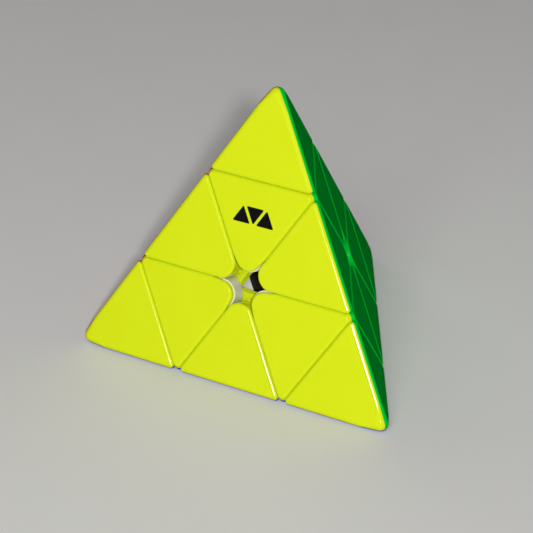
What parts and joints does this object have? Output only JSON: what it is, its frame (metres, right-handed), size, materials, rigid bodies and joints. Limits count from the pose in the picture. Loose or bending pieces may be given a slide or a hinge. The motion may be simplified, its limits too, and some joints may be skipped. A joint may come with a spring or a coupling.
{
  "type": "pyramid twisty puzzle",
  "caption": "Stickerless tetrahedral twisty puzzle with turning layers and turning tips, made of coloured caps on white frames around a ball core.",
  "frame": {"origin": "centre of the core ball, where the four turning axes meet; it is also the centre of the tetrahedron", "axes": "+Z through the top corner, square to the blue face it rests on, which lies in the plane Z = -20 mm; -Y towards the yellow face; +X towards the right corner"},
  "size_m": [0.092, 0.0805, 0.0758],
  "materials": {
    "yellow_plastic": "moulded lemon yellow ABS, satin gloss",
    "green_plastic": "moulded bright green ABS, satin gloss",
    "red_plastic": "moulded red ABS, satin gloss",
    "blue_plastic": "moulded blue ABS, satin gloss",
    "white_plastic": "cream white unpainted ABS",
    "dark_plastic": "black unpainted nylon",
    "screw_steel": "zinc plated steel",
    "spring_steel": "drawn spring wire",
    "magnet_nickel": "nickel plated magnet"
  },
  "bodies": {
    "core": {"core_ball": "dark_plastic", "axle_screws": "screw_steel", "axle_springs": "spring_steel", "axle_washers": "screw_steel"},
    "axial_top": {"axial_top_frame": "white_plastic", "axial_top_cap_yellow": "yellow_plastic", "axial_top_cap_green": "green_plastic", "axial_top_cap_red": "red_plastic", "axial_top_magnets": "magnet_nickel"},
    "axial_left": {"axial_left_frame": "white_plastic", "axial_left_cap_yellow": "yellow_plastic", "axial_left_cap_red": "red_plastic", "axial_left_cap_blue": "blue_plastic", "axial_left_magnets": "magnet_nickel"},
    "axial_right": {"axial_right_frame": "white_plastic", "axial_right_cap_yellow": "yellow_plastic", "axial_right_cap_green": "green_plastic", "axial_right_cap_blue": "blue_plastic", "axial_right_magnets": "magnet_nickel"},
    "axial_back": {"axial_back_frame": "white_plastic", "axial_back_cap_green": "green_plastic", "axial_back_cap_red": "red_plastic", "axial_back_cap_blue": "blue_plastic", "axial_back_magnets": "magnet_nickel"},
    "tip_top": {"tip_top_frame": "white_plastic", "tip_top_cap_yellow": "yellow_plastic", "tip_top_cap_green": "green_plastic", "tip_top_cap_red": "red_plastic"},
    "tip_left": {"tip_left_frame": "white_plastic", "tip_left_cap_yellow": "yellow_plastic", "tip_left_cap_red": "red_plastic", "tip_left_cap_blue": "blue_plastic"},
    "tip_right": {"tip_right_frame": "white_plastic", "tip_right_cap_yellow": "yellow_plastic", "tip_right_cap_green": "green_plastic", "tip_right_cap_blue": "blue_plastic"},
    "tip_back": {"tip_back_frame": "white_plastic", "tip_back_cap_green": "green_plastic", "tip_back_cap_red": "red_plastic", "tip_back_cap_blue": "blue_plastic"},
    "edge_top_left": {"edge_top_left_yellow": "yellow_plastic", "edge_top_left_red": "red_plastic", "edge_top_left_magnets": "magnet_nickel"},
    "edge_top_right": {"edge_top_right_yellow": "yellow_plastic", "edge_top_right_green": "green_plastic", "edge_top_right_magnets": "magnet_nickel"},
    "edge_top_back": {"edge_top_back_green": "green_plastic", "edge_top_back_red": "red_plastic", "edge_top_back_magnets": "magnet_nickel"},
    "edge_left_right": {"edge_left_right_yellow": "yellow_plastic", "edge_left_right_blue": "blue_plastic", "edge_left_right_magnets": "magnet_nickel"},
    "edge_left_back": {"edge_left_back_red": "red_plastic", "edge_left_back_blue": "blue_plastic", "edge_left_back_magnets": "magnet_nickel"},
    "edge_right_back": {"edge_right_back_green": "green_plastic", "edge_right_back_blue": "blue_plastic", "edge_right_back_magnets": "magnet_nickel"}
  },
  "joints": [
    {"name": "layer_top", "type": "hinge", "parent": "core", "child": "axial_top", "pos_m": [0, 0, 0], "axis": [0, 0, 1], "range_deg": [-120, 240]},
    {"name": "layer_left", "type": "hinge", "parent": "core", "child": "axial_left", "pos_m": [0, 0, 0], "axis": [-0.8165, -0.4714, -0.3333], "range_deg": [-120, 240]},
    {"name": "layer_right", "type": "hinge", "parent": "core", "child": "axial_right", "pos_m": [0, 0, 0], "axis": [0.8165, -0.4714, -0.3333], "range_deg": [-120, 240]},
    {"name": "layer_back", "type": "hinge", "parent": "core", "child": "axial_back", "pos_m": [0, 0, 0], "axis": [0, 0.9428, -0.3333], "range_deg": [-120, 240]},
    {"name": "tip_top_turn", "type": "hinge", "parent": "axial_top", "child": "tip_top", "pos_m": [0, 0, 0], "axis": [0, 0, 1], "continuous": true},
    {"name": "tip_left_turn", "type": "hinge", "parent": "axial_left", "child": "tip_left", "pos_m": [0, 0, 0], "axis": [-0.8165, -0.4714, -0.3333], "continuous": true},
    {"name": "tip_right_turn", "type": "hinge", "parent": "axial_right", "child": "tip_right", "pos_m": [0, 0, 0], "axis": [0.8165, -0.4714, -0.3333], "continuous": true},
    {"name": "tip_back_turn", "type": "hinge", "parent": "axial_back", "child": "tip_back", "pos_m": [0, 0, 0], "axis": [0, 0.9428, -0.3333], "continuous": true},
    {"name": "edge_top_left_in_layer_left", "type": "hinge", "parent": "axial_top", "child": "edge_top_left", "pos_m": [0, 0, 0], "axis": [-0.8165, -0.4714, -0.3333], "range_deg": [-120, 240]},
    {"name": "edge_top_right_in_layer_right", "type": "hinge", "parent": "axial_top", "child": "edge_top_right", "pos_m": [0, 0, 0], "axis": [0.8165, -0.4714, -0.3333], "range_deg": [-120, 240]},
    {"name": "edge_top_back_in_layer_back", "type": "hinge", "parent": "axial_top", "child": "edge_top_back", "pos_m": [0, 0, 0], "axis": [0, 0.9428, -0.3333], "range_deg": [-120, 240]},
    {"name": "edge_left_right_in_layer_left", "type": "hinge", "parent": "axial_right", "child": "edge_left_right", "pos_m": [0, 0, 0], "axis": [-0.8165, -0.4714, -0.3333], "range_deg": [-120, 240]},
    {"name": "edge_left_back_in_layer_back", "type": "hinge", "parent": "axial_left", "child": "edge_left_back", "pos_m": [0, 0, 0], "axis": [0, 0.9428, -0.3333], "range_deg": [-120, 240]},
    {"name": "edge_right_back_in_layer_right", "type": "hinge", "parent": "axial_back", "child": "edge_right_back", "pos_m": [0, 0, 0], "axis": [0.8165, -0.4714, -0.3333], "range_deg": [-120, 240]}
  ],
  "couplings": [
    {"joint": "edge_top_left_in_layer_left", "follows": "layer_left", "ratio": 1},
    {"joint": "edge_top_right_in_layer_right", "follows": "layer_right", "ratio": 1},
    {"joint": "edge_top_back_in_layer_back", "follows": "layer_back", "ratio": 1},
    {"joint": "edge_left_right_in_layer_left", "follows": "layer_left", "ratio": 1},
    {"joint": "edge_left_back_in_layer_back", "follows": "layer_back", "ratio": 1},
    {"joint": "edge_right_back_in_layer_right", "follows": "layer_right", "ratio": 1}
  ]
}
